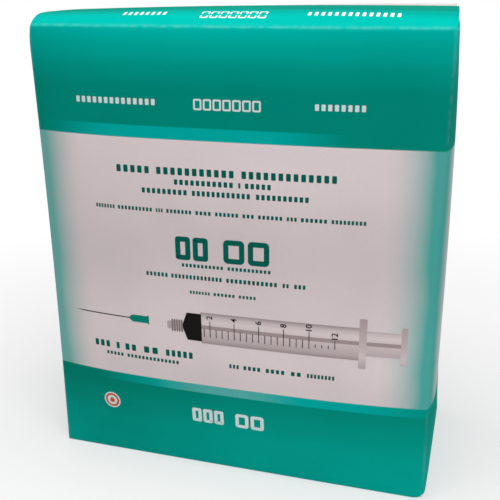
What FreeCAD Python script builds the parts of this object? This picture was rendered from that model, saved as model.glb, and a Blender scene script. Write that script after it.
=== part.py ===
import FreeCAD, Part
import math
import os

# A sealed retail carton that holds one hundred bagged syringes, closed by glued flaps.
# Millimetres, +Z up. The origin is the middle of the underside, X runs along the wide front,
# and the front panel faces -Y. The filling presses every panel outwards, so each is a pillow.

# Carton, measured between its folds
carton_width = 250.0
carton_depth = 116.0
front_height = 285.5
board_thickness = 0.6

# Upright folds, drawn in at mid height where the panels swell
fold_radius = 1.4
fold_pull_in = 1.5
rear_right_pinch = 6.2
pinch_power = 8
crushed_corner_radius = 9.0
crushed_corner_height = 14.0

# How far each panel is pushed out by the filling
front_bulge = 7.5
rear_bulge = 8.0
left_bulge = 3.0
right_bulge = 2.2
fullest_height = 150.0
foot_swell_power = 4
fold_swell_power = 3
front_crease_bulge_share = 0.45
front_crease_roll_power = 8
rear_fold_bulge_share = 0.70
rear_fold_roll_power = 7
front_skew = 0.5

# Lid panel, domed over the filling and folded back from the front panel
lid_rise = 9.1
lid_rise_lost_at_left = 2.7
lid_crest_x = 50.0
lid_slope_deg = 29.0
lid_fall_to_rear = 2.6
lid_fall_start = 27.0
lid_fall_power = 2.7
lid_end_fall = 0.09
crease_radius = 1.2
crease_end_deg = 70.0
rear_fold_end_deg = 80.0
rear_fold_rise = 8.0
rear_fold_rise_lost_at_left = 6.5
rear_fold_crest_x = 100.0
rear_margin = 8.0
inner_flap_reach = 60.0

# Ends of the top, where the small side flaps turn in under the two large ones
shoulder_reach = 5.5
shoulder_height = 6.0
outer_flap_inset = 0.6
inner_flap_inset = 1.8
flap_corner_radius = 5.0

# Underside, closed the same way as the top
foot_radius = 0.8
foot_rear_margin = 8.0
foot_end_inset = 1.4

# Glued seam up the rear left fold, where the rear panel's cut edge shows
seam_inset = 1.4

half_width = carton_width / 2
half_depth = carton_depth / 2
# The side walls run past the top by this much, and cutting shapes run past the carton by this much
overrun = 20.0


def vec(x, y, z):
    return FreeCAD.Vector(x, y, z)


def line(a, b):
    return Part.makeLine(a, b)


def arc(a, b, c):
    return Part.Arc(a, b, c).toShape()


def spline(points, start=None, finish=None):
    """One smooth edge through the points, with its end directions where they are given."""
    curve = Part.BSplineCurve()
    if start is None:
        curve.interpolate(points)
    else:
        curve.interpolate(Points=points, InitialTangent=start, FinalTangent=finish)
    return curve.toShape()


def prism(edges, direction):
    """A straight-sided solid from a closed chain of edges."""
    return Part.Face(Part.Wire(edges)).extrude(direction)


def box(low, high):
    return Part.makeBox(high[0] - low[0], high[1] - low[1], high[2] - low[2], vec(*low))


# Side walls

def level(z):
    """Height as a share of the front panel, from 0 at the foot to 1 at the crease."""
    return min(max(z / front_height, 0.0), 1.0)


def swell_up(z, share_at_top, roll_power):
    """A panel's swell over its height: none at the foot, full, and a share of it at the top."""
    if z < fullest_height:
        return 1 - (1 - max(z, 0.0) / fullest_height) ** foot_swell_power
    above = (z - fullest_height) / (front_height - fullest_height)
    return 1 - (1 - share_at_top) * above ** roll_power


def swell_across(u):
    """A wide panel's swell between its two folds, for u from -1 to 1."""
    return 1 - abs(u) ** fold_swell_power


def front_push(u, z):
    """The front panel's bulge, which sits further left in its upper half."""
    # The bracket is at most 4/27, two thirds of the way up
    skew = front_skew * (level(z) ** 2 * (1 - level(z))) * 27 / 4
    swell = swell_up(z, front_crease_bulge_share, front_crease_roll_power)
    return front_bulge * swell * swell_across(u) * (1 - skew * u)


def rear_push(u, z):
    """The rear panel's bulge. The inner flap stands straight up from its top."""
    swell = swell_up(min(z, front_height), rear_fold_bulge_share, rear_fold_roll_power)
    return rear_bulge * swell * swell_across(u)


def left_push(u, z):
    return left_bulge * math.sin(math.pi * level(z)) * (1 - u * u)


def right_push(u, z):
    return right_bulge * math.sin(math.pi * level(z)) * (1 - u * u)


def draw_in(z):
    return fold_pull_in * math.sin(math.pi * level(z))


def fold_places(z):
    """Plan positions of the folds: front left, front right, rear right, rear left."""
    return [
        (-half_width + draw_in(z), -half_depth),
        (half_width, -half_depth),
        (half_width - draw_in(z) - rear_right_pinch * level(z) ** pinch_power, half_depth),
        (-half_width + draw_in(z), half_depth),
    ]


def front_right_radius(z):
    """The lower front right corner is crushed round, and the fold above it is crisp."""
    share = max(1 - z / crushed_corner_height, 0.0)
    return fold_radius + (crushed_corner_radius - fold_radius) * share ** 2


def outline(z, inset=0.0):
    """The carton's closed outline at one height: four panels joined by four rounded folds."""
    signs = [(1, 1), (-1, 1), (-1, -1), (1, -1)]
    folds = [(p[0] + s[0] * inset, p[1] + s[1] * inset) for p, s in zip(fold_places(z), signs)]
    radii = [fold_radius, front_right_radius(z), fold_radius, fold_radius]
    pushes = [front_push, right_push, rear_push, left_push]
    steps = 8
    panels = []
    for i in range(4):
        start = vec(*folds[i], z)
        run = vec(*folds[(i + 1) % 4], z) - start
        along = vec(run.x, run.y, 0).normalize()
        out = vec(along.y, -along.x, 0)
        span = run.Length - radii[i] - radii[(i + 1) % 4]
        points = []
        for k in range(steps + 1):
            push = pushes[i](2 * k / steps - 1, z)
            points.append(start + along * (radii[i] + span * k / steps) + out * push)
        panels.append((points, along))
    edges = []
    for i in range(4):
        points, along = panels[i]
        next_points, next_along = panels[(i + 1) % 4]
        corner = vec(*folds[(i + 1) % 4], z)
        inward = (next_along - along).normalize()
        # An arc of this radius passes the corner at this distance
        gap = radii[(i + 1) % 4] * (math.sqrt(2) - 1)
        edges.append(spline(points))
        edges.append(arc(points[-1], corner + inward * gap, next_points[0]))
    return Part.Wire(edges)


def side_walls():
    """The four panels as one lofted solid, run straight up past the top for the lid to trim."""
    # Sections as shares of the height, closer together where the panels curve most
    shares = [0.02, 0.04, 0.07, 0.12, 0.21, 0.35, 0.52, 0.68, 0.8, 0.89, 0.95, 1.0]
    heights = [foot_radius] + [share * front_height for share in shares]
    heights += [front_height + overrun / 2, front_height + overrun]
    walls = Part.makeLoft([outline(z) for z in heights], True, False)
    # The folds round the underside turn in over a small radius
    turn = []
    for degrees in (0, 45, 90):
        angle = math.radians(degrees)
        turn.append(outline(foot_radius * (1 - math.cos(angle)), foot_radius * (1 - math.sin(angle))))
    return walls.fuse(Part.makeLoft(turn, True, False))


# Lid

def station_share(x):
    """A place along the width as u from -1 to 1 between the folds."""
    return min(max(x / (half_width - fold_radius), -1.0), 1.0)


def front_edge(x):
    return -half_depth - front_push(station_share(x), front_height)


def rear_edge(x):
    return half_depth + rear_push(station_share(x), front_height)


def dome(x, highest, lost_at_left, crest_x):
    """A height that is greatest at its crest and falls off in a curve to both sides."""
    return highest - lost_at_left * ((x - crest_x) / (half_width + crest_x)) ** 2


def lid_height(x):
    """How far the lid stands above the front crease at this place along the width."""
    return dome(x, lid_rise, lid_rise_lost_at_left, lid_crest_x)


def rear_fold_height(x):
    """How far the rear fold stands above the front crease at this place along the width."""
    return dome(x, rear_fold_rise, rear_fold_rise_lost_at_left, rear_fold_crest_x)


def lid_climb(run):
    """The lid's climb at a distance behind the crease, both as shares of its height."""
    straight = math.tan(math.radians(lid_slope_deg)) * run
    # The fourth power and root make the slope level off at the full height
    return straight / (1 + straight ** 4) ** (1 / 4)


def lid_fall(y):
    """How far the lid has fallen to the rear at this depth, from where it starts to fall."""
    back = max(y + lid_fall_start, 0) / (half_depth - rear_margin + lid_fall_start)
    return lid_fall_to_rear * back ** lid_fall_power


def lid_section(x, sink=0.0, stepped=True):
    """A section under the lid's outer face, or sunk below it, from the front crease to the rear fold."""
    slope = math.radians(lid_slope_deg)
    steep = math.radians(crease_end_deg)
    rise = lid_height(x)
    base = front_height - sink
    # The crease is an arc between the front panel and the lid's slope
    centre = vec(x, front_edge(x) + sink + crease_radius * math.sin(steep), base - crease_radius * math.cos(slope))

    def on_crease(angle):
        return centre + vec(0, -crease_radius * math.sin(angle), crease_radius * math.cos(angle))

    front = on_crease(steep)
    outside = front - vec(0, overrun * math.cos(steep), overrun * math.sin(steep))
    # The lid climbs at its slope, rounds over a shoulder, runs level and falls to the rear
    climbing = vec(0, math.cos(slope), math.sin(slope))
    level_on = vec(0, 1, 0)
    flap_end = half_depth - rear_margin
    start = on_crease(slope)
    points = [start]
    # Four places close behind the crease, where the slope levels off, and three on the flat of the lid
    places = [start.y + run * rise for run in (0.75, 1.5, 2.4, 3.6)] + [0, half_depth / 3, flap_end]
    for y in places:
        points.append(vec(x, y, base + lid_climb((y - start.y) / rise) * rise - lid_fall(y)))
    fall = vec(0, 1, -lid_end_fall)
    edges = [arc(front, on_crease((slope + steep) / 2), points[0]), spline(points, climbing, fall)]
    # Behind the outer flap's cut edge the inner flap climbs to its fold on the rear panel
    margin = points[-1]
    if stepped:
        margin = margin - vec(0, 0, board_thickness)
        edges.append(line(points[-1], margin))
    steep_rear = math.radians(rear_fold_end_deg)
    fold_z = front_height + rear_fold_height(x) - sink
    fold_y = rear_edge(x) - crease_radius

    def on_fold(angle):
        return vec(x, fold_y + crease_radius * math.sin(angle), fold_z - crease_radius * (1 - math.cos(angle)))

    edges.append(spline([margin, on_fold(0)], fall, level_on))
    edges.append(arc(on_fold(0), on_fold(steep_rear / 2), on_fold(steep_rear)))
    behind = on_fold(steep_rear) + vec(0, overrun * math.cos(steep_rear), -overrun * math.sin(steep_rear))
    edges.append(line(on_fold(steep_rear), behind))
    floor = -overrun
    rear_low = vec(x, behind.y, floor)
    front_low = vec(x, outside.y, floor)
    edges += [line(behind, rear_low), line(rear_low, front_low), line(front_low, outside), line(outside, front)]
    return Part.Wire(edges)


def below_lid(sink=0.0, stepped=True):
    """All the space below the lid, or below a board under it, to trim other solids with."""
    end = half_width + overrun
    stations = [-end, -0.8 * half_width, -0.4 * half_width, 0, 0.4 * half_width, 0.8 * half_width, end]
    return Part.makeLoft([lid_section(x, sink, stepped) for x in stations], True, False)


def flap_outline(inset, front, rear):
    """The plan of a large flap as a tall block, with its two free corners rounded."""
    pinch = rear_right_pinch / carton_depth
    left = -half_width + inset
    right_front = half_width - inset - pinch * (front + half_depth)
    right_rear = half_width - inset - pinch * (rear + half_depth)
    low = front_height - overrun
    corners = [vec(left, front, low), vec(right_front, front, low), vec(right_rear, rear, low), vec(left, rear, low)]
    block = Part.Face(Part.makePolygon(corners + [corners[0]])).extrude(vec(0, 0, 3 * overrun))
    free_y = rear if front < -half_depth else front
    upright = [e for e in block.Edges if abs(e.Vertexes[0].Point.y - free_y) < 0.01
               and abs(e.Vertexes[1].Point.y - free_y) < 0.01 and abs(e.Length - 3 * overrun) < 0.01]
    return block.makeFillet(flap_corner_radius, upright)


def shoulder(side):
    """What is missing above the rounded end of the top, where a small side flap turns in."""
    pinch = rear_right_pinch if side > 0 else 0.0
    # The curve starts just outside the side panel and just below its top, so that it leaves no sliver
    clear_of_side = 0.2
    below_top = 1.0
    foot_x = side * (half_width + clear_of_side)
    top_x = side * (half_width - shoulder_reach)
    foot_z = front_height - below_top
    top_z = front_height + shoulder_height
    lean = math.sqrt(0.5)
    middle = (top_x + (foot_x - top_x) * lean, foot_z + (top_z - foot_z) * lean)
    away = side * (half_width + overrun)
    y = -half_depth - overrun
    start = pinch * overrun / carton_depth
    places = [(foot_x, foot_z), middle, (top_x, top_z), (top_x, top_z + overrun), (away, top_z + overrun),
              (away, foot_z)]
    p = [vec(place[0] + start, y, place[1]) for place in places]
    edges = [arc(p[0], p[1], p[2]), line(p[2], p[3]), line(p[3], p[4]), line(p[4], p[5]), line(p[5], p[0])]
    run = carton_depth + 2 * overrun
    return prism(edges, vec(-pinch * run / carton_depth, run, 0))


def open_ends(carton):
    """Rounds the ends of the top under the two large flaps, which stand over them as cut boards."""
    outer_flap = flap_outline(outer_flap_inset, -half_depth - overrun, half_depth - rear_margin)
    inner_flap = flap_outline(inner_flap_inset, half_depth - inner_flap_reach, half_depth + overrun)
    under_outer = below_lid(board_thickness, False)
    under_inner = below_lid(2 * board_thickness, False)
    for side in (-1, 1):
        missing = shoulder(side)
        carton = carton.cut(missing.cut([outer_flap, inner_flap]))
        carton = carton.cut(missing.common(under_outer).cut(inner_flap))
        carton = carton.cut(missing.common(under_inner))
    return carton


def foot_steps():
    """What the glued flaps of the underside leave open along its rear and its two ends."""
    past = half_width + overrun
    rear = box((-past, half_depth - foot_rear_margin, -1), (past, half_depth + overrun, board_thickness))
    ends = []
    for side in (-1, 1):
        low = min(side * past, side * (half_width - foot_end_inset))
        high = max(side * past, side * (half_width - foot_end_inset))
        ends.append(box((low, -half_depth - overrun, -1), (high, half_depth + overrun, board_thickness)))
    return [rear] + ends


def seam():
    """The step where the rear panel's cut edge ends just short of the rear left fold."""
    wires = []
    # Sections as shares of the height, from below the foot to above the top
    for share in (-0.1, 0.1, 0.3, 0.5, 0.7, 0.9, 1.1):
        z = share * front_height
        x, y = fold_places(z)[3]
        corners = [vec(x - overrun, y - board_thickness, z), vec(x + seam_inset, y - board_thickness, z),
                   vec(x + seam_inset, y + overrun, z), vec(x - overrun, y + overrun, z)]
        wires.append(Part.makePolygon(corners + [corners[0]]))
    return Part.makeLoft(wires, True, False)


def carton():
    """The closed carton with its filling, as one solid."""
    closed = side_walls().common(below_lid())
    closed = closed.cut(foot_steps())
    closed = closed.cut(seam())
    return open_ends(closed).removeSplitter()


os.makedirs("parts", exist_ok=True)
whole = carton()
print("carton", whole.isValid(), len(whole.Solids), "solid", len(whole.Faces), "faces")
print(round(whole.Volume / 1e6, 3), "litres", whole.optimalBoundingBox())
whole.exportStep("parts/carton.step")
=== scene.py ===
import bmesh
import bpy
import math
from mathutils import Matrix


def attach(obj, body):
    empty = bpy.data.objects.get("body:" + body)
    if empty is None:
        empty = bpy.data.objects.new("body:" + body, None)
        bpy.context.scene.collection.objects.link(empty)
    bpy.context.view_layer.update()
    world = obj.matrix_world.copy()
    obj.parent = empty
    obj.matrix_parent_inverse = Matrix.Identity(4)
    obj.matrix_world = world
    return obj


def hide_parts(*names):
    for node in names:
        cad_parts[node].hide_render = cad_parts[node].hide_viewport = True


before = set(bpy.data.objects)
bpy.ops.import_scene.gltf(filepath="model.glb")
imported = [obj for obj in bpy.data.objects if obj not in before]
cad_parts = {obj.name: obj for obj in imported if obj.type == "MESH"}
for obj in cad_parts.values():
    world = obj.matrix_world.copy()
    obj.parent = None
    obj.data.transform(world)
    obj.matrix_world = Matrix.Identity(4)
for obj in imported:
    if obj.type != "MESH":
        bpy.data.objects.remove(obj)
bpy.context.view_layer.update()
print("frame loaded")

mm = 0.001


# Working tools

def startClean():
    if bpy.context.object and bpy.context.object.mode != "OBJECT":
        bpy.ops.object.mode_set(mode="OBJECT")
    bpy.ops.object.select_all(action="DESELECT")


def named(name, material=None):
    piece = bpy.context.object
    piece.name = name
    piece.data.name = name
    if material:
        piece.data.materials.append(material)
    return piece


def settle():  # the place, turn and size go into the mesh
    bpy.ops.object.transform_apply(location=True, rotation=True, scale=True)


def editing(piece, kind="EDGE"):
    startClean()
    piece.select_set(True)
    bpy.context.view_layer.objects.active = piece
    bpy.ops.object.mode_set(mode="EDIT")
    bpy.ops.mesh.select_mode(type=kind)


def joined(pieces, name):
    startClean()
    for piece in pieces:
        piece.select_set(True)
    bpy.context.view_layer.objects.active = pieces[0]
    bpy.ops.object.join()
    return named(name)


def applied(piece, kind, **settings):
    startClean()
    piece.select_set(True)
    bpy.context.view_layer.objects.active = piece
    step = piece.modifiers.new(kind.title(), kind)
    for key, value in settings.items():
        setattr(step, key, value)
    bpy.ops.object.modifier_apply(modifier=step.name)


def linearColour(hexCode):
    parts = [int(hexCode[i:i + 2], 16) / 255 for i in (1, 3, 5)]
    return tuple(p / 12.92 if p <= 0.04045 else ((p + 0.055) / 1.055) ** 2.4 for p in parts) + (1.0,)


def addNode(tree, kind, settings=None, inputs=None):  # adds any kind of node, with its settings and links
    node = tree.nodes.new(kind)
    for key, value in (settings or {}).items():
        setattr(node, key, value)
    for key, value in (inputs or {}).items():
        if isinstance(value, bpy.types.NodeSocket):
            tree.links.new(value, node.inputs[key])
        else:
            node.inputs[key].default_value = value
    return node


# Camera

camera = {
    "place": (142.54, -482.47, 313.06),  # mm, from the photo's perspective
    "turn": (70.523, 0.568, 16.835),
    "lens": 56.36,
    "sensor": 36,
}


def makeCamera():
    startClean()
    place = [value * mm for value in camera["place"]]
    turn = [math.radians(value) for value in camera["turn"]]
    bpy.ops.object.camera_add(location=place, rotation=turn)
    made = bpy.context.object
    made.name = "photoCamera"
    made.data.lens = camera["lens"]
    made.data.sensor_width = camera["sensor"]
    made.data.clip_start = 0.01
    made.data.clip_end = 50
    bpy.context.scene.camera = made


makeCamera()
print("camera placed")


# Carton sizes, in mm, the same as the CAD carton's

carton = {
    "width": 250,
    "depth": 116,
    "frontHeight": 285.5,
    "board": 0.6,
    "foldRadius": 1.4,
    "foldPullIn": 1.5,
    "rearRightPinch": 6.2,
    "crushedRadius": 9,
    "crushedHeight": 14,
    "creaseCorner": 5,
    "creaseCornerHeight": 13,
    "frontBulge": 7.43,
    "rearBulge": 8,
    "leftBulge": 3,
    "rightBulge": 2.78,
    "rightSkew": 0.8,
    "rightFoldPullIn": 2,
    "rearRightPullIn": 3.5,
    "rightFoldRadius": 3,
    "fullestHeight": 150,
    "creaseShare": 0.45,
    "creaseRoll": 8,
    "rearFoldShare": 0.7,
    "rearFoldRoll": 7,
    "frontSkew": 0.5,
    "footRadius": 0.8,
}

lid = {
    "rise": 9.1,
    "lostAtLeft": 2.7,
    "crestX": 50,
    "slope": 29,
    "slopeSine": 0.485,
    "fallToRear": 2.6,
    "fallFrom": -27,
    "creaseRadius": 1.2,
    "creaseEnd": 70,
    "rearFoldEnd": 80,
    "rearFoldRise": 8,
    "rearFoldLostAtLeft": 6.5,
    "rearFoldCrestX": 100,
    "rearMargin": 8,
    "marginSag": 0.08,
    "innerFlapReach": 60,
    "innerFlapShare": 0.997,
    "endInset": 0.6,
    "shoulderReach": 5.5,
    "cornerRadius": 5,
}

halfWidth = carton["width"] / 2
halfDepth = carton["depth"] / 2
frontHeight = carton["frontHeight"]
board = carton["board"]
creaseTop = math.cos(math.radians(lid["slope"]))
creaseSteep = math.radians(lid["creaseEnd"])
rearSteep = math.radians(lid["rearFoldEnd"])
wallTop = frontHeight - lid["creaseRadius"] * (creaseTop - math.cos(creaseSteep))
wallFoot = board + carton["footRadius"]


def creaseCorner(z):  # how much wider than a crisp fold the front folds are, just under the crease
    share = max(1 - (frontHeight - z) / carton["creaseCornerHeight"], 0) ** 2
    return (carton["creaseCorner"] - carton["foldRadius"]) * share


# Carton walls: the filling presses every panel outwards

def level(z):
    return min(max(z / frontHeight, 0), 1)


def swellUp(z, shareAtTop, roll):
    if z < carton["fullestHeight"]:
        return 1 - (1 - max(z, 0) / carton["fullestHeight"]) ** 4
    above = (z - carton["fullestHeight"]) / (frontHeight - carton["fullestHeight"])
    return 1 - (1 - shareAtTop) * above ** roll


def frontPush(u, z):  # fullest left of the middle, most of all at two thirds of the height
    skew = carton["frontSkew"] * 6.75 * level(z) ** 2 * (1 - level(z))  # 6.75 brings its peak to 1
    swell = swellUp(z, carton["creaseShare"], carton["creaseRoll"])
    return carton["frontBulge"] * swell * (1 - abs(u) ** 3) * (1 - skew * u)


def rearPush(u, z):
    swell = swellUp(min(z, frontHeight), carton["rearFoldShare"], carton["rearFoldRoll"])
    return carton["rearBulge"] * swell * (1 - abs(u) ** 3)


def leftPush(u, z):
    return carton["leftBulge"] * math.sin(math.pi * level(z)) * (1 - u * u)


def rightFull(z):
    return math.sin(math.pi * level(z)) ** 0.7


def rightPush(u, z):  # fullest just behind the front fold
    return carton["rightBulge"] * rightFull(z) * (1 - abs(u) ** 5) * (1 - carton["rightSkew"] * u)


def graded(length, step):  # places along a panel, closer together towards its folds
    near = [0, 1.2, 3, 5.5, 9]
    inner = length - 2 * near[-1]
    count = max(round(inner / step), 1)
    middle = [near[-1] + inner * k / count for k in range(1, count)]
    return near + middle + [length - place for place in reversed(near)]


panelSteps = {"side": graded(halfDepth * 2, 6), "wide": graded(halfWidth * 2, 6)}
tabRuns = [15, 10, 5, 1]


def wallOutline(z):  # one ring of the folded board, from the glue tab round to the rear panel's cut edge
    r = carton["foldRadius"]
    crush = max(1 - z / carton["crushedHeight"], 0) ** 2
    softened = creaseCorner(z)
    drawIn = carton["foldPullIn"] * math.sin(math.pi * level(z))
    pinch = carton["rearRightPinch"] * level(z) ** 8
    full = rightFull(z)
    widened = (carton["crushedRadius"] - r) * crush + (carton["rightFoldRadius"] - r) * full
    # Each fold is the corner that it would be if crisp, its radius, and the angle at which its arc starts
    rearLeft = (-halfWidth + drawIn, halfDepth - board, r, 90)
    frontLeft = (-halfWidth + drawIn, -halfDepth, r + softened, 180)
    frontRight = (halfWidth - carton["rightFoldPullIn"] * full, -halfDepth, r + widened + softened, 270)
    rearRight = (halfWidth - carton["rearRightPullIn"] * full - pinch, halfDepth, r, 0)
    rearEnd = (-halfWidth + drawIn, halfDepth, r, 90)
    folds = [rearLeft, frontLeft, frontRight, rearRight, rearEnd]
    panels = [("side", leftPush), ("wide", frontPush), ("side", rightPush), ("wide", rearPush)]

    def onFold(fold, angle):
        x, y, radius, first = fold
        centreX = x + radius if x < 0 else x - radius
        centreY = y + radius if y < 0 else y - radius
        turn = math.radians(first + angle)
        return centreX + radius * math.cos(turn), centreY + radius * math.sin(turn)

    points = [(rearLeft[0] + r + run, rearLeft[1]) for run in tabRuns + [0]]
    for i, (kind, push) in enumerate(panels):
        points += [onFold(folds[i], angle) for angle in (22.5, 45, 67.5)]
        startX, startY = onFold(folds[i], 90)
        endX, endY = onFold(folds[i + 1], 0)
        runX, runY = endX - startX, endY - startY
        length = math.hypot(runX, runY)
        steps = panelSteps[kind]
        for place in steps:
            share = place / steps[-1]
            out = push(2 * share - 1, z)
            x = startX + runX * share + runY / length * out
            points.append((x, startY + runY * share - runX / length * out))
    return points


def lidHeight(x):
    return lid["rise"] - lid["lostAtLeft"] * ((x - lid["crestX"]) / (halfWidth + lid["crestX"])) ** 2


def rearFoldZ(x):
    drop = ((x - lid["rearFoldCrestX"]) / (halfWidth + lid["rearFoldCrestX"])) ** 2
    return frontHeight + lid["rearFoldRise"] - lid["rearFoldLostAtLeft"] * drop


def frontEdge(x):
    return -halfDepth - frontPush(max(min(x / (halfWidth - carton["foldRadius"]), 1), -1), frontHeight)


def rearEdge(x):
    left = carton["foldRadius"] - halfWidth
    right = halfWidth - carton["foldRadius"] - carton["rearRightPinch"]
    return halfDepth + rearPush(max(min(2 * (x - left) / (right - left) - 1, 1), -1), frontHeight)


def lidZ(x, y):  # climbs from the crease, levels off and falls a little to the rear
    rise = lidHeight(x)
    afterCrease = lid["creaseRadius"] * (math.sin(creaseSteep) - lid["slopeSine"])
    run = max(y - frontEdge(x) - afterCrease, 0) / rise
    climb = math.tan(math.radians(lid["slope"])) * run
    climb = climb / (1 + climb ** 4) ** 0.25
    back = max(y - lid["fallFrom"], 0) / (halfDepth - lid["rearMargin"] - lid["fallFrom"])
    return frontHeight + rise * climb - lid["fallToRear"] * back ** 2.7


def marginZ(x, y):  # the inner flap between the outer flap's cut edge and the rear fold
    start = halfDepth - lid["rearMargin"]
    if y < start:
        return lidZ(x, y) - board
    foldY = rearEdge(x) - lid["creaseRadius"]
    share = min((y - start) / (foldY - start), 1)
    low, high = lidZ(x, start) - board, rearFoldZ(x)
    ease = share * share * (3 - 2 * share)
    return low + (high - low) * ease - lid["marginSag"] * (foldY - start) * share * (1 - share) ** 2


def pinchAt(y):
    return carton["rearRightPinch"] * (y + halfDepth) / carton["depth"]


# The board itself: one sheet, wrapped round and folded shut at both ends

def pickOpenEdges(piece, test):
    bpy.ops.mesh.select_all(action="DESELECT")
    mesh = bmesh.from_edit_mesh(piece.data)
    for edge in mesh.edges:
        middle = (edge.verts[0].co + edge.verts[1].co) / 2 / mm
        if edge.is_boundary and test(middle):
            edge.select_set(True)
    bmesh.update_edit_mesh(piece.data)


def foldFlap(piece, test, axis, rows):  # extrudes an edge row by row, and lays each row on the folded form
    pickOpenEdges(piece, test)
    mesh = bmesh.from_edit_mesh(piece.data)
    before = len(mesh.faces)
    edge = [vertex.co.copy() / mm for vertex in mesh.verts if vertex.select]
    stations = sorted(edge, key=lambda co: co[axis])
    for row in rows:
        bpy.ops.mesh.extrude_region_move()
        mesh = bmesh.from_edit_mesh(piece.data)
        fresh = sorted([vertex for vertex in mesh.verts if vertex.select], key=lambda vertex: vertex.co[axis])
        for station, vertex in zip(stations, fresh):
            vertex.co = [value * mm for value in row(station)]
        bmesh.update_edit_mesh(piece.data)
    return range(before, len(bmesh.from_edit_mesh(piece.data).faces))


def roundedCorner(away, back, radius):  # pulls a point near a flap's corner in onto the corner's arc
    if away >= radius or back >= radius:
        return away, back
    reach = math.hypot(radius - away, radius - back)
    if reach <= radius:
        return away, back
    return radius - (radius - away) * radius / reach, radius - (radius - back) * radius / reach


def outerFlapRows():
    radius, slope = lid["creaseRadius"], math.radians(lid["slope"])
    flapEnd = halfDepth - lid["rearMargin"]

    def spread(station, y, share):  # the flap is a little wider than the crease it folds on
        full = halfWidth - lid["endInset"]
        narrow = halfWidth - (carton["foldRadius"] + creaseCorner(wallTop)) * (1 - math.sqrt(0.5))
        x = station[0] * (1 + (full / narrow - 1) * share)
        return x - pinchAt(y) * max(x, 0) / halfWidth

    def creaseRow(angle):
        def row(station):
            y = station[1] + radius * (math.sin(creaseSteep) - math.sin(angle))
            return station[0], y, frontHeight - radius * math.cos(slope) + radius * math.cos(angle)
        return row

    def flatRow(share):
        def row(station):
            start = station[1] + radius * (math.sin(creaseSteep) - math.sin(slope))
            late = (station[1] - frontEdge(station[0])) * max(1 - share * 8, 0)
            y = start + (flapEnd - start) * share
            x = spread(station, y, min(share * 30, 1))
            side = 1 if x > 0 else -1
            cutEdge = spread((side * halfWidth, 0), y, 1) * side
            away, back = roundedCorner(cutEdge - abs(x), flapEnd - y, lid["cornerRadius"])
            x = side * (cutEdge - away)
            y = flapEnd - back
            return x, y, lidZ(x, y - late)
        return row

    angles = [creaseSteep + (slope - creaseSteep) * share for share in (1 / 3, 2 / 3, 1)]
    shares = [0.01, 0.03, 0.055, 0.08, 0.105, 0.13, 0.16, 0.19, 0.22, 0.26, 0.3, 0.35, 0.4, 0.46, 0.52,
              0.58, 0.64, 0.7, 0.76, 0.82, 0.88, 0.92, 0.95, 0.97, 0.985, 1]  # closer near both ends
    return [creaseRow(angle) for angle in angles] + [flatRow(share) for share in shares]


def innerFlapRows():
    radius = lid["creaseRadius"]
    start = halfDepth - lid["rearMargin"]

    def narrowed(station):  # the inner flap is a little narrower than the panel that it folds from
        return station[0] * lid["innerFlapShare"]

    def riseRow(share):
        def row(station):
            x = narrowed(station)
            top = rearFoldZ(x) - radius * (1 - math.cos(rearSteep))
            return x, station[1] + (rearEdge(x) - station[1]) * share, wallTop + (top - wallTop) * share
        return row

    def foldRow(angle):
        def row(station):
            x = narrowed(station)
            y = rearEdge(x) - radius + radius * math.sin(angle)
            return x, y, rearFoldZ(x) - radius * (1 - math.cos(angle))
        return row

    def marginRow(share):
        def row(station):
            x = narrowed(station)
            foldY = rearEdge(x) - radius
            y = foldY + (start - foldY) * share
            return x, y, marginZ(x, y)
        return row

    def hiddenRow(y):
        def row(station):
            x = narrowed(station)
            return x, y, lidZ(x, y) - board
        return row

    rows = [riseRow(share) for share in (0.5, 1)]
    rows += [foldRow(rearSteep * share) for share in (0.66, 0.33, 0)]
    rows += [marginRow(share) for share in (0.15, 0.3, 0.45, 0.6, 0.75, 0.9, 1)]
    return rows + [hiddenRow(y) for y in (40, 20, halfDepth - lid["innerFlapReach"])]


def dustFlapRows(side):  # rounds over the fold and then lies right under the other two flaps
    def under(x, y):
        return max(marginZ(x, y) - board - 0.05, wallTop)

    def shoulderRow(angle):
        def row(station):
            across = station[0] - side * lid["shoulderReach"]
            x = station[0] - side * lid["shoulderReach"] * (1 - math.cos(angle))
            return x, station[1], wallTop + (under(across, station[1]) - wallTop) * math.sin(angle)
        return row

    def hiddenRow(reach):
        def row(station):
            return side * reach, station[1], under(side * reach, station[1])
        return row

    angles = [math.radians(degrees) for degrees in (15, 30, 45, 60, 75, 90)]
    return [shoulderRow(angle) for angle in angles] + [hiddenRow(reach) for reach in (109, 102, 94, 85)]


def footRows(axis, inward, drop, reaches):
    radius = carton["footRadius"]

    def downRow(station):
        return station[0], station[1], drop + radius

    def turnRow(angle):
        def row(station):
            shift = inward * radius * (1 - math.cos(angle))
            place = [station[0], station[1], drop + radius * (1 - math.sin(angle))]
            place[axis] += shift
            return place
        return row

    def flatRow(reach):
        def row(station):
            place = [station[0], station[1], drop]
            place[axis] = reach
            return place
        return row

    first = [downRow] if drop + radius < wallFoot - 0.01 else []
    turns = [turnRow(math.radians(degrees)) for degrees in (30, 60, 90)]
    return first + turns + [flatRow(reach) for reach in reaches]


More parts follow.
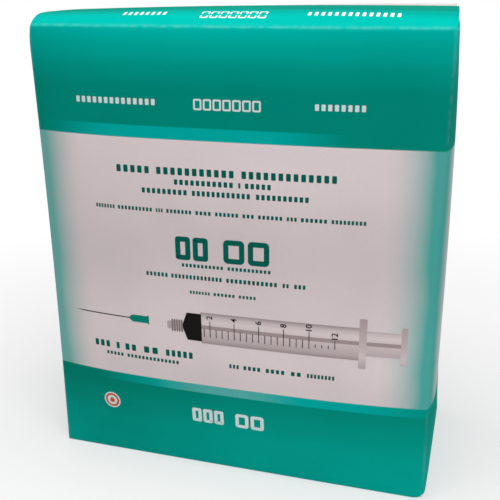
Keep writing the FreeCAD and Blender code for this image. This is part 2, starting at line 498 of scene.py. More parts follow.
def makeBoard(printMaterial, boardMaterial, plainMaterial):
    heights = [wallFoot, 3, 5, 7.5, 10.5, 14] + list(range(20, 264, 6))
    heights += [267, 271, 275, 278.5, 281.5, 283.3, wallTop]
    rings = [wallOutline(z) for z in heights]
    columns = len(rings[0])
    startClean()
    bpy.ops.mesh.primitive_grid_add(x_subdivisions=columns - 1, y_subdivisions=len(heights) - 1, size=1)
    sheet = named("cartonBoard", printMaterial)
    sheet.data.materials.append(boardMaterial)
    sheet.data.materials.append(plainMaterial)
    for vertex in sheet.data.vertices:  # the flat blank is wrapped round into the four walls
        column = round((vertex.co.x + 0.5) * (columns - 1))
        row = round((vertex.co.y + 0.5) * (len(heights) - 1))
        x, y = rings[row][column]
        vertex.co = (x * mm, y * mm, heights[row] * mm)
    editing(sheet)

    def atTop(co):
        return co.z > wallTop - 0.1

    def atFoot(co):
        return co.z < wallFoot + 0.1

    outerFlap = foldFlap(sheet, lambda co: atTop(co) and co.y < -halfDepth + 1, 0, outerFlapRows())
    innerFlap = foldFlap(sheet, lambda co: atTop(co) and co.y > halfDepth - 0.015, 0, innerFlapRows())
    for side in (-1, 1):
        tab = board if side < 0 else 0
        betweenFolds = halfDepth - carton["foldRadius"] + 0.01 - tab

        def besideTop(co):  # the pinched fold stands up to 8 mm further in
            onSide = co.x * side > halfWidth - carton["foldRadius"] - 7.9 and abs(co.y) < betweenFolds
            return onSide and abs(co.z - wallTop) < 0.05

        foldFlap(sheet, besideTop, 1, dustFlapRows(side))
    foldFlap(sheet, lambda co: atFoot(co) and co.y < -halfDepth + 2, 0,
             footRows(1, 1, 0, (-40, 0, 40, halfDepth - lid["rearMargin"])))
    foldFlap(sheet, lambda co: atFoot(co) and co.y > halfDepth - 0.015, 0,
             footRows(1, -1, board, (50, 20, halfDepth - lid["innerFlapReach"])))
    for side in (-1, 1):
        def besideFoot(co):
            onSide = co.x * side > halfWidth - 2 and -halfDepth + 2 < co.y < halfDepth - carton["foldRadius"]
            return onSide and abs(co.z - wallFoot) < 0.05

        foldFlap(sheet, besideFoot, 1, footRows(0, -side, board + 0.02, (side * 100, side * 80)))
    bpy.ops.mesh.select_all(action="SELECT")
    bpy.ops.mesh.normals_make_consistent(inside=False)
    bpy.ops.object.mode_set(mode="OBJECT")
    front = min(sheet.data.polygons, key=lambda face: face.center.y)
    if front.normal.y > 0:
        editing(sheet, "FACE")
        bpy.ops.mesh.select_all(action="SELECT")
        bpy.ops.mesh.flip_normals()
        bpy.ops.object.mode_set(mode="OBJECT")
    lidPrint = sheet.data.attributes.new("lidPrint", "FLOAT", "POINT")  # 1 on the lid and 0 on the walls
    for index in outerFlap:
        if sheet.data.polygons[index].center.z > frontHeight * mm:
            for corner in sheet.data.polygons[index].vertices:
                lidPrint.data[corner].value = 1
    for face in sheet.data.polygons:  # the inner flap and the glue tab carry no print
        x, y, z = face.center / mm
        onFlap = face.index in innerFlap and face.normal.z > 0.3
        if onFlap or abs(y - halfDepth + board) < 0.05 and x < -halfWidth + 25:
            face.material_index = 2
    applied(sheet, "SOLIDIFY", thickness=board * mm, offset=-1, use_rim=True,
            material_offset=1, material_offset_rim=1)
    bpy.ops.object.shade_smooth_by_angle(angle=math.radians(40))
    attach(sheet, "root")
    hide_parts("carton")
    return sheet


# Materials

ink = {
    "deepGreen": "#008774",
    # the deep green as lit by the lamps: painted light, mixed in by the shares below
    "paintedLitGreen": "#00b7ab",
    "strip": "#00b8b2",
    "field": "#ecdddf",
    "raw": "#b9b3aa",
    # greyer than the board's own white: partly painted shade on the rear margin behind the lid
    "plain": "#c9c2be",
    "fade": "#06afa5",
    # pale scuffed film; along the crease it is partly a painted highlight
    "wearAndHighlight": "#d3e4df",
    "white": "#e4f6f6",
    "darkGreen": "#08685b",
    "hubGreen": "#0a8f7b",
    "black": "#1f1c1c",
    "grey": "#b3a0a0",
    "thread": "#8a7b7b",
    "needle": "#584f50",
    "paleGrey": "#c4b4b5",
    "orange": "#dd6238",
}

bands = {
    "upper": 222.4,
    "lower": 63.4,
    "upperStrip": 7.3,
    "lowerStrip": 6.0,
    "slant": 0.0045,
    "softEdge": 0.25,
    "upperStripTint": (-22, 100, 45, 1),  # its middle, how far from there it starts and is full, and its most
    "lowerStripTint": (22, 125, 50, 0.9),
    # partly the strip's pale lettering, partly a painted reflection
    "stripSheenAndLetters": (-4, 52, 8, 0.13),
    "fade": 34,
    "fadePower": 1.9,
    "fadeDepth": (1.2, 1.34),  # left and right
    "fadeMost": (0.78, 0.9),
    "fadeCloud": (0.88, 1.12),
    "wallPaintedLight": [(0, 0.94), (300, 0.97), (24, 0.73), (42, 0.45), (56, 0.28), (64, 0.28), (222, 0.22),
                (250, 0.25), (262, 0.45), (272, 0.72), (284, 0.97)],  # share of the lit green at each height: painted light and shade
    "lidPaintedLight": [(-66, 0.96), (60, 0), (-52, 0.9), (-44, 0.42), (-37, 0.05)],  # and at each depth of the lid: painted light and shade too
    # painted shade on the lower band's left part
    "lowerLeftPaintedShade": -0.25,
    # painted light and shade on the field: lighter near its top and foot, darker at mid height
    "fieldPaintedLight": [(0, 1), (300, 1.05), (64, 0.98), (90, 1.06), (155, 0.94), (215, 1.08)],
    "foldWear": (3, 1.2),  # mm from the fold where the scuffs start and are full
    # along the crease, the pale scuffs are partly a painted highlight
    "creaseScuffAndHighlight": (1.3, 0.2),
    "wearAndHighlightMost": 0.1,
    "patchTone": (0.96, 1.04),
    "dotTone": (0.98, 1.02),
    "roughness": (0.38, 0.46),
    "lastBend": 2.4,
}


def laminate(name):  # glossy film over the print: a clear coat on a slightly rough sheet
    material = bpy.data.materials.new(name)
    material.use_nodes = True
    tree = material.node_tree
    shader = tree.nodes["Principled BSDF"]
    shader.inputs["Roughness"].default_value = 0.5
    shader.inputs["Specular IOR Level"].default_value = 0.0
    shader.inputs["Coat Weight"].default_value = 0.03
    shader.inputs["Coat Roughness"].default_value = 0.22
    return material, tree, shader


def printedBoard():  # offset print in green on white, under a clear film, with painted light and shade in its greens and field
    material, tree, shader = laminate("printedBoardAndPaintedLight")
    modes = {
        "Math": "operation",
        "VectorMath": "operation",
        "MapRange": "interpolation_type",
        "Mix": "data_type",
    }

    def step(what, *values):  # adds a node by its kind and mode, feeds its inputs in turn, and gives its result
        kind, space, mode = what.partition(" ")
        node = addNode(tree, "ShaderNode" + kind, {modes[kind]: mode} if mode else None)
        for socket, value in zip([socket for socket in node.inputs if socket.enabled], values):
            if isinstance(value, bpy.types.NodeSocket):
                tree.links.new(value, socket)
            else:
                socket.default_value = value
        return next(socket for socket in node.outputs if socket.enabled)

    place = addNode(tree, "ShaderNodeTexCoord")
    inMm = step("VectorMath SCALE", place.outputs["Object"], 1000)
    x, y, z = addNode(tree, "ShaderNodeSeparateXYZ", None, {0: inMm}).outputs

    def toneAlong(value, low, high, stops):  # a smooth run of values, given as pairs of place and value
        run = addNode(tree, "ShaderNodeValToRGB", None, {0: step("MapRange LINEAR", value, low, high)})
        run.color_ramp.interpolation = "EASE"
        points = run.color_ramp.elements
        for i, (stop, height) in enumerate(stops):
            point = points[i] if i < 2 else points.new((stop - low) / (high - low))
            point.position = (stop - low) / (high - low)
            point.color = (height / 2, height / 2, height / 2, 1)
        return step("Math MULTIPLY", run.outputs[0], 2)

    def towards(middle, start, full, most):  # rises towards one place along the width
        return step("MapRange SMOOTHSTEP", step("Math ABSOLUTE", step("Math SUBTRACT", x, middle)),
                    start, full, 0, most)

    slanted = step("Math MULTIPLY", x, bands["slant"])
    belowUpper = step("Math SUBTRACT", step("Math SUBTRACT", bands["upper"], slanted), z)
    aboveLower = step("Math SUBTRACT", z, step("Math ADD", bands["lower"], slanted))
    soft = bands["softEdge"]
    inField = step("MapRange LINEAR", step("Math MINIMUM", belowUpper, aboveLower), -soft, soft)
    # The two lighter strips next to the field
    upperStrip = step("Math MINIMUM", step("Math MULTIPLY", belowUpper, -1),
                      step("Math ADD", belowUpper, bands["upperStrip"]))
    lowerStrip = step("Math MINIMUM", step("Math MULTIPLY", aboveLower, -1),
                      step("Math ADD", aboveLower, bands["lowerStrip"]))
    inStrip = step("MapRange LINEAR", step("Math MAXIMUM", upperStrip, lowerStrip), -soft, soft)
    isUpper = step("MapRange LINEAR", z, 140, 141)
    isLower = step("Math SUBTRACT", 1, isUpper)
    stripTint = step("Math ADD", step("Math MULTIPLY", towards(*bands["upperStripTint"]), isUpper),
                     step("Math MULTIPLY", towards(*bands["lowerStripTint"]), isLower))
    stripTint = step("Math MULTIPLY", stripTint, inStrip)
    # The green fades into the field next to each upright fold
    besideX = step("Math SUBTRACT", halfWidth, step("Math ABSOLUTE", x))
    besideY = step("Math SUBTRACT", halfDepth, step("Math ABSOLUTE", y))
    away = step("Math MAXIMUM", step("Math MAXIMUM", besideX, besideY), 0)
    fade = step("Math POWER", step("MapRange LINEAR", away, 0, bands["fade"], 1, 0), bands["fadePower"])
    cloud = step("MapRange LINEAR", step("TexNoise", inMm, 0.018, 3), 0.3, 0.7, *bands["fadeCloud"])
    depth = step("MapRange LINEAR", x, -2, 2, *bands["fadeDepth"])
    fade = step("Math MULTIPLY", step("Math MULTIPLY", fade, depth), cloud)
    fade = step("Math MINIMUM", fade, step("MapRange LINEAR", x, -2, 2, *bands["fadeMost"]))
    # Painted light and shade: the green is painted deepest beside the field, and lightest at the foot, at the
    # crease and on the lid's front slope, where the light falls most
    # Painted shade: the lower band is darker towards its left, where the bulging panel turns from the light
    lowerLeftPaintedShade = step("Math MULTIPLY", step("MapRange SMOOTHSTEP", x, -95, 15, bands["lowerLeftPaintedShade"], 0),
                     step("MapRange LINEAR", z, 66, 62))
    wallPaintedLight = step("Math ADD", toneAlong(z, 0, 300, bands["wallPaintedLight"]), lowerLeftPaintedShade)
    onLid = addNode(tree, "ShaderNodeAttribute", {"attribute_name": "lidPrint"}).outputs["Fac"]
    # the share of painted lit green, on the walls and on the lid
    paintedLitShare = step("Math ADD", step("Math MULTIPLY", wallPaintedLight, step("Math SUBTRACT", 1, onLid)),
                      step("Math MULTIPLY", toneAlong(y, -66, 60, bands["lidPaintedLight"]), onLid))
    green = step("Mix RGBA", paintedLitShare, linearColour(ink["deepGreen"]), linearColour(ink["paintedLitGreen"]))
    banded = step("Mix RGBA", stripTint, green, linearColour(ink["strip"]))
    # The lower strip is palest a little left of its middle: partly standing for its pale repeated lettering,
    # partly a painted reflection of the film's sheen
    stripSheenAndLetters = step("Math MULTIPLY", step("Math MULTIPLY", towards(*bands["stripSheenAndLetters"]), inStrip), isLower)
    banded = step("Mix RGBA", stripSheenAndLetters, banded, linearColour(ink["field"]))
    # The field's painted light and shade, lighter near its top and foot
    fieldPaintedLight = toneAlong(z, 0, 300, bands["fieldPaintedLight"])
    paper = step("VectorMath SCALE", linearColour(ink["field"])[:3], fieldPaintedLight)
    field = step("Mix RGBA", fade, paper, linearColour(ink["fade"]))
    colour = step("Mix RGBA", inField, banded, field)
    # The film is scuffed along the folds, where the carton rubs on its neighbours. Along the crease the pale
    # scuffs are partly wear and partly a painted highlight, standing for the crease's glints
    fromCrease = step("Math ABSOLUTE", step("Math SUBTRACT", z, frontHeight))
    creaseScuffAndHighlightMask = step("Math MULTIPLY", step("MapRange LINEAR", fromCrease, *bands["creaseScuffAndHighlight"]),
                    step("MapRange LINEAR", y, halfDepth - 1, halfDepth - 2))
    atEdge = step("Math MAXIMUM", step("MapRange LINEAR", away, *bands["foldWear"]), creaseScuffAndHighlightMask)
    scuffsAndCreaseHighlight = step("MapRange LINEAR", step("TexNoise", inMm, 0.22, 5), 0.35, 0.75, 0, bands["wearAndHighlightMost"])
    colour = step("Mix RGBA", step("Math MULTIPLY", atEdge, scuffsAndCreaseHighlight), colour, linearColour(ink["wearAndHighlight"]))
    # Uneven ink, in patches of about 60 mm and in specks of the press dots, drawn coarser than they are
    patches = step("MapRange LINEAR", step("TexNoise", inMm, 0.016, 2), 0.3, 0.7, *bands["patchTone"])
    dots = step("TexNoise", inMm, 1.1, 2)
    tone = step("Math MULTIPLY", patches, step("MapRange LINEAR", dots, 0.3, 0.7, *bands["dotTone"]))
    tree.links.new(step("VectorMath SCALE", colour, tone), shader.inputs["Base Color"])
    rough = step("MapRange LINEAR", dots, 0.3, 0.7, *bands["roughness"])
    tree.links.new(rough, shader.inputs["Roughness"])
    # Slack waves of the board over the bags inside, about 45 mm long
    wave = step("TexNoise", inMm, 0.022, 1)
    # and the walls' last bend back to the crease
    bend = step("Math POWER", step("MapRange LINEAR", z, 257, frontHeight), 2)
    relief = step("Math SUBTRACT", wave, step("Math MULTIPLY", bend, bands["lastBend"]))
    waves = addNode(tree, "ShaderNodeBump", None, {"Strength": 1, "Distance": 0.0008, "Height": relief})
    fibre = addNode(tree, "ShaderNodeBump", None,
                    {"Strength": 0.12, "Distance": 0.00004, "Height": dots, "Normal": waves.outputs[0]})
    tree.links.new(fibre.outputs[0], shader.inputs["Normal"])
    return material


def paperBoard(name, hexCode, spread):  # unprinted folding boxboard: matt, with short pressed fibres
    material = bpy.data.materials.new(name)
    material.use_nodes = True
    tree = material.node_tree
    shader = tree.nodes["Principled BSDF"]
    shader.inputs["Roughness"].default_value = 0.8
    shader.inputs["IOR"].default_value = 1.45
    place = addNode(tree, "ShaderNodeTexCoord")
    grain = addNode(tree, "ShaderNodeMapping", None,
                    {"Vector": place.outputs["Object"], "Scale": (700, 1400, 2200)})
    fibre = addNode(tree, "ShaderNodeTexNoise", None, {"Vector": grain.outputs[0], "Scale": 1, "Detail": 4})
    base = linearColour(hexCode)
    dark = tuple(value * (1 - spread) for value in base[:3]) + (1.0,)
    tone = addNode(tree, "ShaderNodeMix", {"data_type": "RGBA"})
    tree.links.new(fibre.outputs["Fac"], tone.inputs[0])
    tone.inputs[6].default_value = dark
    tone.inputs[7].default_value = base
    tree.links.new(tone.outputs[2], shader.inputs["Base Color"])
    bump = addNode(tree, "ShaderNodeBump", None,
                   {"Strength": 0.3, "Distance": 0.0001, "Height": fibre.outputs["Fac"]})
    tree.links.new(bump.outputs[0], shader.inputs["Normal"])
    return material


def printInk(name, hexCode):  # one ink under the same film
    material, tree, shader = laminate(name)
    place = addNode(tree, "ShaderNodeTexCoord")
    dots = addNode(tree, "ShaderNodeTexNoise", None,
                   {"Vector": place.outputs["Object"], "Scale": 1100, "Detail": 2})
    base = linearColour(hexCode)
    tone = addNode(tree, "ShaderNodeMix", {"data_type": "RGBA"})
    tree.links.new(dots.outputs["Fac"], tone.inputs[0])
    tone.inputs[6].default_value = tuple(value * 0.94 for value in base[:3]) + (1.0,)
    tone.inputs[7].default_value = base
    tree.links.new(tone.outputs[2], shader.inputs["Base Color"])
    return material


printed = printedBoard()
raw = paperBoard("greyBoardEdge", ink["raw"], 0.25)
# its grey is partly painted shade on the rear margin
plain = paperBoard("unprintedBoardAndPaintedShade", ink["plain"], 0.06)
cartonBoard = makeBoard(printed, raw, plain)
print("carton folded:", len(cartonBoard.data.polygons), "faces")


# Print on the front and the lid. Where the real print has words, rows of plain blocks stand for them

wordRows = [  # middle height, block height, ink, and each word as its left end, right end and blocks
    (243.8, 3.6, "white", [(-93, -40, 14), (52, 81, 8)]),
    (243.3, 6.4, "white", [(-18, 22.5, 7)]),
    (203.8, 4.4, "darkGreen", [(-68.5, -45.5, 5), (-42.5, 7, 11), (10, 66.7, 13)]),
    (197.4, 3.2, "darkGreen", [(-31.5, 6, 11), (8, 10, 1), (12, 28.5, 5)]),
    (191.2, 3.2, "darkGreen", [(-52.5, -22.5, 9), (-20.5, 16, 12), (18.5, 50.5, 10)]),
    (179.2, 2.4, "darkGreen", [(-84.5, -71, 7), (-69.3, -45.7, 10), (-44, -39, 3), (-37.2, -20.5, 7),
                               (-18.7, -8.3, 4), (-6.5, 8.5, 6), (10.3, 18, 3), (19.7, 35, 6),
                               (36.7, 43.3, 3), (45, 61, 6), (62.7, 83, 9)]),
    (156.2, 15, "darkGreen", [(-32.5, -10, 2), (-2, 28.5, 2)]),
    (145.4, 2.2, "darkGreen", [(-28.7, -1.5, 11), (0.5, 28, 11)]),
    (137.7, 2.7, "darkGreen", [(-52.7, -37.5, 6), (-36, -2.5, 14), (-0.5, 32, 12), (34.5, 39, 2),
                               (41.5, 49.2, 3)]),
    (127.8, 2.0, "darkGreen", [(-24.2, -10.5, 7), (-8.8, 5.5, 6), (7.3, 18.7, 5)]),
    (83.6, 4.6, "darkGreen", [(-94, -81.5, 3), (-78, -74.5, 1), (-71.5, -62, 2), (-58, -46, 2),
                              (-42.5, -22.7, 5)]),
    (77.3, 2.4, "darkGreen", [(-85.7, -72.5, 5), (-70.5, -33, 14)]),
    (79.7, 2.8, "darkGreen", [(0.2, 7.3, 3), (9.5, 21.5, 4), (24, 37, 4), (40, 47.5, 2), (50, 67.7, 8)]),
    (39.8, 10.5, "white", [(-26.7, -4, 3), (3, 23.5, 2)]),
]

lidRows = [  # middle depth, block depth, and words as above, in white
    (-47.9, 4.2, [(-66, -37.5, 8), (44, 96, 14)]),
    (-49.3, 7.8, [(-17.5, 22, 7)]),
]

syringe = {
    "axis": 104.4,
    "barrel": (-17.8, 81, 93.6, 114.8),
    "flange": (80.9, 85.4, 88.3, 120.7),
    "rod": (85.3, 105.7, 96.9, 113),
    "thumbRest": (105.5, 109, 92.3, 116.7),
    "rodShade": (-17.8, 105.7, 103.6, 106.1),
    "stopper": (-27, -17.4, 94.9, 113.6),
    "stopperNose": 2.9,
    "thread": (-37.6, -29.6, 99.7, 108.3),
    "threadTurns": 5,
    "nozzle": (-40.4, -37.4, 101.4, 106.6),
    "firstMark": -15.7,
    "markStep": 3.92,
    "marks": 22,
    "halfMark": 0.24,
    "longMark": (98.2, 109.4),
    "shortMark": (98.2, 103.9),
    "lastOfFullHeight": 17,
    "shorterMark": (99.3, 101.6),
    "endMark": (99.3, 104.8),
    "numbers": [(2, 111.7), (4, 111.7), (6, 111.7), (8, 111.7), (10, 111.7), (12, 107.6)],  # and their heights
    "numberHeight": 5.3,
    "needle": (-106.5, -66.5, 0.72),
    "hub": (-66.8, -53.6, 3.0, 2.4),
}

roundMark = {
    "place": (-85.4, 40.2),
    "radius": 6.1,
    "rings": [("markDisc", 1, "white", 0.05), ("markRing", 0.84, "orange", 0.09),
              ("markField", 0.6, "white", 0.13), ("markDot", 0.3, "orange", 0.17)],  # radius share, lift
}

laying = {
    "beforeFront": -0.09,  # m, where the flat shapes wait before they are pressed on
    "aboveLid": 0.32,
    "span": 5,  # mm, the longest piece that stays flat on the bulging board
    "lift": 0.05,
}


def plate(left, right, low, high, tint, rounded=0, onLid=False):  # a flat shape before its panel, ready to lay
    startClean()
    if onLid:
        place, turn = ((left + right) / 2 * mm, (low + high) / 2 * mm, laying["aboveLid"]), (0, 0, 0)
    else:
        place = ((left + right) / 2 * mm, laying["beforeFront"], (low + high) / 2 * mm)
        turn = (math.pi / 2, 0, 0)
    bpy.ops.mesh.primitive_plane_add(size=mm, location=place, rotation=turn)
    made = named("plate", tint)
    made.scale = (right - left, high - low, 1)
    settle()
    if rounded:
        editing(made, "VERT")
        bpy.ops.mesh.select_all(action="SELECT")
        bpy.ops.mesh.bevel(offset=rounded * mm, segments=3, affect="VERTICES")
        bpy.ops.object.mode_set(mode="OBJECT")
    return made


def laid(pieces, name, onLid=False, lift=laying["lift"]):  # cut into short spans, then pressed onto the board
    sheet = joined(pieces, name) if len(pieces) > 1 else pieces[0]
    sheet.name = name
    sheet.data.name = name
    places = [vertex.co.copy() for vertex in sheet.data.vertices]
    editing(sheet)
    for axis in (0, 1 if onLid else 2):
        low = min(place[axis] for place in places) / mm
        high = max(place[axis] for place in places) / mm
        for k in range(1, int((high - low) / laying["span"]) + 1):
            bpy.ops.mesh.select_all(action="SELECT")
            point = [0, 0, 0]
            point[axis] = (low + k * laying["span"]) * mm
            normal = [0, 0, 0]
            normal[axis] = 1
            bpy.ops.mesh.bisect(plane_co=point, plane_no=normal)
    bpy.ops.object.mode_set(mode="OBJECT")
    settings = {"use_project_z": True, "use_positive_direction": False, "use_negative_direction": True}
    if not onLid:
        settings = {"use_project_y": True, "use_positive_direction": True, "use_negative_direction": False}
    applied(sheet, "SHRINKWRAP", target=cartonBoard, wrap_method="PROJECT", offset=lift * mm, **settings)
    startClean()
    sheet.select_set(True)
    bpy.context.view_layer.objects.active = sheet
    bpy.ops.object.shade_smooth()
    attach(sheet, "root")
    return sheet


def wordBlocks(left, right, blocks, low, high, tint, onLid=False):  # one block, repeated along the word
    pitch = (right - left) / blocks
    tall = high - low > 5.5
    wide = pitch * (1 - (0.14 if tall else 0.5 if onLid else 0.38))
    made = plate(left, left + wide, low, high, tint, 0.2 * min(high - low, wide), onLid)
    if tall:  # a large block is drawn as a frame, so that it prints no heavier than lettering
        editing(made, "FACE")
        bpy.ops.mesh.select_all(action="SELECT")
        weight = 0.13 if onLid else 0.22 if high - low > 8 else 0.17
        bpy.ops.mesh.inset(thickness=min(weight * (high - low), 1.8 * weight * wide) * mm)
        bpy.ops.mesh.delete(type="FACE")
        bpy.ops.object.mode_set(mode="OBJECT")
    applied(made, "ARRAY", count=blocks, use_relative_offset=False, use_constant_offset=True,
            constant_offset_displace=(pitch * mm, 0, 0))
    return made


def makeWords():
    inks = {
        "white": printInk("whiteInk", ink["white"]),
        "darkGreen": printInk("deepGreenInk", ink["darkGreen"]),
    }
    words = {"white": [], "darkGreen": []}
    for middle, height, tint, row in wordRows:
        for left, right, blocks in row:
            low, high = middle - height / 2, middle + height / 2
            words[tint].append(wordBlocks(left, right, blocks, low, high, inks[tint]))
    laid(words["white"], "frontWhiteBlocks")
    laid(words["darkGreen"], "frontGreenBlocks")
    onLid = []
    for middle, height, row in lidRows:
        for left, right, blocks in row:
            low, high = middle - height / 2, middle + height / 2
            onLid.append(wordBlocks(left, right, blocks, low, high, inks["white"], True))
    laid(onLid, "lidWhiteBlocks", True)
    return inks


def roundTint(name, dark, light, low, high, shine):  # a halftone that shades a flat shape as a round one
    material, tree, shader = laminate(name)
    place = addNode(tree, "ShaderNodeTexCoord")
    split = addNode(tree, "ShaderNodeSeparateXYZ", None, {0: place.outputs["Object"]})
    inputs = {"Value": split.outputs[2], "From Min": low * mm, "From Max": high * mm}
    across = addNode(tree, "ShaderNodeMapRange", None, inputs)
    ramp = addNode(tree, "ShaderNodeValToRGB", None, {0: across.outputs[0]})
    stops = ramp.color_ramp.elements
    stops[0].color = linearColour(dark)
    stops[1].color = linearColour(dark)
    for position, share in ((0.14, 0.4), (shine, 1.0), (min(shine + 0.14, 0.93), 0.7)):
        stop = stops.new(position)
        stop.color = [a + (b - a) * share for a, b in zip(linearColour(dark), linearColour(light))]
    dots = addNode(tree, "ShaderNodeTexNoise", None,
                   {"Vector": place.outputs["Object"], "Scale": 1100, "Detail": 2})
    tone = addNode(tree, "ShaderNodeMapRange", None,
                   {"Value": dots.outputs["Fac"], "To Min": 0.94, "To Max": 1.06})
    toned = addNode(tree, "ShaderNodeVectorMath", {"operation": "SCALE"},
                    {0: ramp.outputs[0], "Scale": tone.outputs[0]})
    tree.links.new(toned.outputs[0], shader.inputs["Base Color"])
    return material


def pointed(piece, side, reach, share):  # draws one end of a flat shape out, and makes it narrower or wider
    editing(piece)
    bpy.ops.mesh.select_all(action="DESELECT")
    mesh = bmesh.from_edit_mesh(piece.data)
    end = (max if side > 0 else min)(vertex.co.x for vertex in mesh.verts)
    for edge in mesh.edges:
        if all(abs(vertex.co.x - end) < 1e-6 for vertex in edge.verts):
            edge.select_set(True)
            middle = (edge.verts[0].co + edge.verts[1].co) / 2
    bmesh.update_edit_mesh(piece.data)
    bpy.ops.mesh.extrude_region_move(TRANSFORM_OT_translate={"value": (side * reach * mm, 0, 0)})
    centre = (middle.x + side * reach * mm, middle.y, middle.z)
    bpy.ops.transform.resize(value=(1, 1, share), center_override=centre)
    bpy.ops.object.mode_set(mode="OBJECT")


def makeSyringeFigure():
    low, high = syringe["barrel"][2:]
    clear = roundTint("clearBarrelHalftone", "#ad9b9c", "#efdfe0", low, high, 0.72)
    frosted = roundTint("frostedPartHalftone", "#b5a2a3", "#e4d3d4", 84, 124, 0.3)
    blackInk = printInk("blackInk", ink["black"])
    greyInk = printInk("greyInk", ink["grey"])
    threadInk = printInk("threadGreyInk", ink["thread"])
    needleInk = printInk("needleGreyInk", ink["needle"])
    hubInk = printInk("hubGreenInk", ink["hubGreen"])
    paleInk = printInk("paleGreyInk", ink["paleGrey"])
    laid([plate(*syringe["barrel"], clear)], "figureBarrel")
    laid([plate(*syringe["rod"], clear)], "figureRod")
    laid([plate(*syringe["rodShade"], greyInk)], "figureRodShade", lift=0.09)
    ends = [plate(*syringe["flange"], frosted, 0.8), plate(*syringe["thumbRest"], frosted, 0.6)]
    laid(ends, "figureFlanges", lift=0.13)
    stopper = plate(*syringe["stopper"], blackInk)
    pointed(stopper, -1, syringe["stopperNose"], 0.12)
    laid([stopper], "figureStopper", lift=0.13)
    left, right, low, high = syringe["thread"]
    pitch = (right - left) / syringe["threadTurns"]
    core = [plate(*syringe["nozzle"], paleInk, 0.4), plate(left, right, low + 0.7, high - 0.7, paleInk)]
    laid(core, "figureNozzle")
    turns = []
    for k in range(syringe["threadTurns"]):
        start = left + pitch * (k + 0.15)
        turns.append(plate(start, start + pitch * 0.55, low, high, threadInk, 0.3))
    laid(turns, "figureThread", lift=0.09)
    # Scale: long marks at the even numbers, short ones between, and shorter ones past ten
    marks = []
    for k in range(syringe["marks"]):
        x = syringe["firstMark"] + syringe["markStep"] * k
        low, high = syringe["longMark"] if k % 4 == 1 else syringe["shortMark"]
        if k > syringe["lastOfFullHeight"]:
            low, high = syringe["endMark"] if k == syringe["marks"] - 1 else syringe["shorterMark"]
        marks.append(plate(x - syringe["halfMark"], x + syringe["halfMark"], low, high, blackInk))
    for count, (number, z) in enumerate(syringe["numbers"]):
        x = syringe["firstMark"] + syringe["markStep"] * (4 * count + 1)
        startClean()
        place = (x * mm, laying["beforeFront"], z * mm)
        bpy.ops.object.text_add(location=place, rotation=(math.pi / 2, -math.pi / 2, 0))
        digits = bpy.context.object
        digits.data.body = str(number)
        digits.data.size = syringe["numberHeight"] * mm
        digits.data.align_x = "CENTER"
        digits.data.align_y = "CENTER"
        digits.data.offset = 0.00008
        bpy.ops.object.convert(target="MESH")
        made = named("digits")
        made.data.materials.clear()
        made.data.materials.append(blackInk)
        settle()
        marks.append(made)
    laid(marks, "figureScale", lift=0.13)
    # Needle and its hub, a little above the syringe's axis
    axis = syringe["axis"] + 0.8
    start, finish, width = syringe["needle"]
    needle = plate(start + 6, finish, axis - width / 2, axis + width / 2, needleInk)
    pointed(needle, -1, 6, 0.2)
    laid([needle], "figureNeedle", lift=0.09)
    start, finish, wide, narrow = syringe["hub"]
    hub = plate(start + 2.2, finish, axis - narrow, axis + narrow, hubInk)
    pointed(hub, -1, 2.2, 0.3)
    pointed(hub, 1, 0.01, wide / narrow)
    rim = plate(finish - 0.5, finish + 0.6, axis - wide, axis + wide, hubInk, 0.25)
    laid([hub, rim], "figureHub", lift=0.13)


def makeRoundMark(inks):  # a plain ring and dot where the real print has a small round mark
    x, z = roundMark["place"]
    tints = {"white": inks["white"], "orange": printInk("orangeInk", ink["orange"])}
    for name, share, tint, lift in roundMark["rings"]:
        startClean()
        bpy.ops.mesh.primitive_circle_add(
            vertices=40, radius=roundMark["radius"] * share * mm, fill_type="NGON",
            location=(x * mm, laying["beforeFront"], z * mm), rotation=(math.pi / 2, 0, 0))
        disc = named(name, tints[tint])
        settle()
        laid([disc], name, lift=lift)


inks = makeWords()
makeSyringeFigure()
makeRoundMark(inks)
print("print laid on the board")


# Floor and light

studio = {
    "floorSize": 12,
    "floor": "#f4f4f4",
    "plainFloor": 0.16,  # m from the middle, where the floor starts to turn into the white backdrop
    "whiteFloor": 0.55,
    "nearWhite": 0.5,  # how white the floor already is beside the carton
    "keySize": 0.8,
    "keyPower": 12.2,
    "keyPlace": (0, -0.12, 1.2),
    "fillSize": 0.8,
    "fillPower": 4.7,
    "fillPlace": (0.95, -0.9, 0.9),
    "aimHeight": 0.14,
    "world": 0.15,
}


def viewRay(tree):  # 1 on what the camera sees, straight or in a reflection, and 0 on what lights the object
    path = addNode(tree, "ShaderNodeLightPath")
    mirrored = addNode(tree, "ShaderNodeMath", {"operation": "MAXIMUM"},
                       {0: path.outputs["Is Glossy Ray"], 1: path.outputs["Is Transmission Ray"]})
    either = addNode(tree, "ShaderNodeMath", {"operation": "MAXIMUM"},
                     {0: path.outputs["Is Camera Ray"], 1: mirrored.outputs[0]})
    return either.outputs[0]


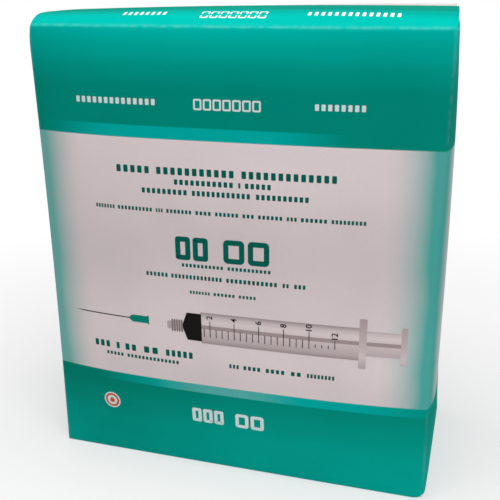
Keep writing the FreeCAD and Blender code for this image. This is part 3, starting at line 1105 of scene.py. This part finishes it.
def makeFloor():
    startClean()
    bpy.ops.mesh.primitive_grid_add(x_subdivisions=4, y_subdivisions=4, size=studio["floorSize"])
    floor = named("studioFloor")
    material = bpy.data.materials.new("paleFloor")
    material.use_nodes = True
    tree = material.node_tree
    shader = tree.nodes["Principled BSDF"]
    shader.inputs["Base Color"].default_value = linearColour(studio["floor"])
    shader.inputs["Roughness"].default_value = 0.9
    shader.inputs["Specular IOR Level"].default_value = 0.0
    place = addNode(tree, "ShaderNodeTexCoord")
    away = addNode(tree, "ShaderNodeVectorMath", {"operation": "LENGTH"}, {0: place.outputs["Object"]})
    inputs = {
        "Value": away.outputs["Value"], "From Min": studio["plainFloor"], "From Max": studio["whiteFloor"],
        "To Min": studio["nearWhite"],
    }
    distant = addNode(tree, "ShaderNodeMapRange", {"interpolation_type": "SMOOTHSTEP"}, inputs)
    seen = addNode(tree, "ShaderNodeMath", {"operation": "MULTIPLY"}, {0: viewRay(tree), 1: distant.outputs[0]})
    white = addNode(tree, "ShaderNodeEmission")
    mixed = addNode(tree, "ShaderNodeMixShader", None,
                    {0: seen.outputs[0], 1: shader.outputs[0], 2: white.outputs[0]})
    tree.links.new(mixed.outputs[0], tree.nodes["Material Output"].inputs["Surface"])
    floor.data.materials.append(material)
    return floor


def makeLamp(name, size, power, place):
    startClean()
    bpy.ops.object.light_add(type="AREA", location=place)
    lamp = bpy.context.object
    lamp.name = name
    lamp.data.size = size
    lamp.data.energy = power
    aim = -lamp.location
    aim.z += studio["aimHeight"]
    lamp.rotation_euler = aim.to_track_quat("-Z", "Y").to_euler()
    return lamp


def makeWorld():
    world = bpy.data.worlds.new("studioRoom")
    bpy.context.scene.world = world
    world.use_nodes = True
    tree = world.node_tree
    room = tree.nodes["Background"]
    room.inputs["Color"].default_value = (1, 1, 1, 1)
    room.inputs["Strength"].default_value = studio["world"]
    white = addNode(tree, "ShaderNodeBackground", None, {"Color": (1, 1, 1, 1), "Strength": 1})
    mixed = addNode(tree, "ShaderNodeMixShader", None,
                    {0: viewRay(tree), 1: room.outputs[0], 2: white.outputs[0]})
    tree.links.new(mixed.outputs[0], tree.nodes["World Output"].inputs["Surface"])


makeFloor()
makeLamp("overheadSoftbox", studio["keySize"], studio["keyPower"], studio["keyPlace"])
makeLamp("frontSoftbox", studio["fillSize"], studio["fillPower"], studio["fillPlace"])
makeWorld()
view = bpy.context.scene.view_settings
view.view_transform = "Standard"
print("floor and lights ready")
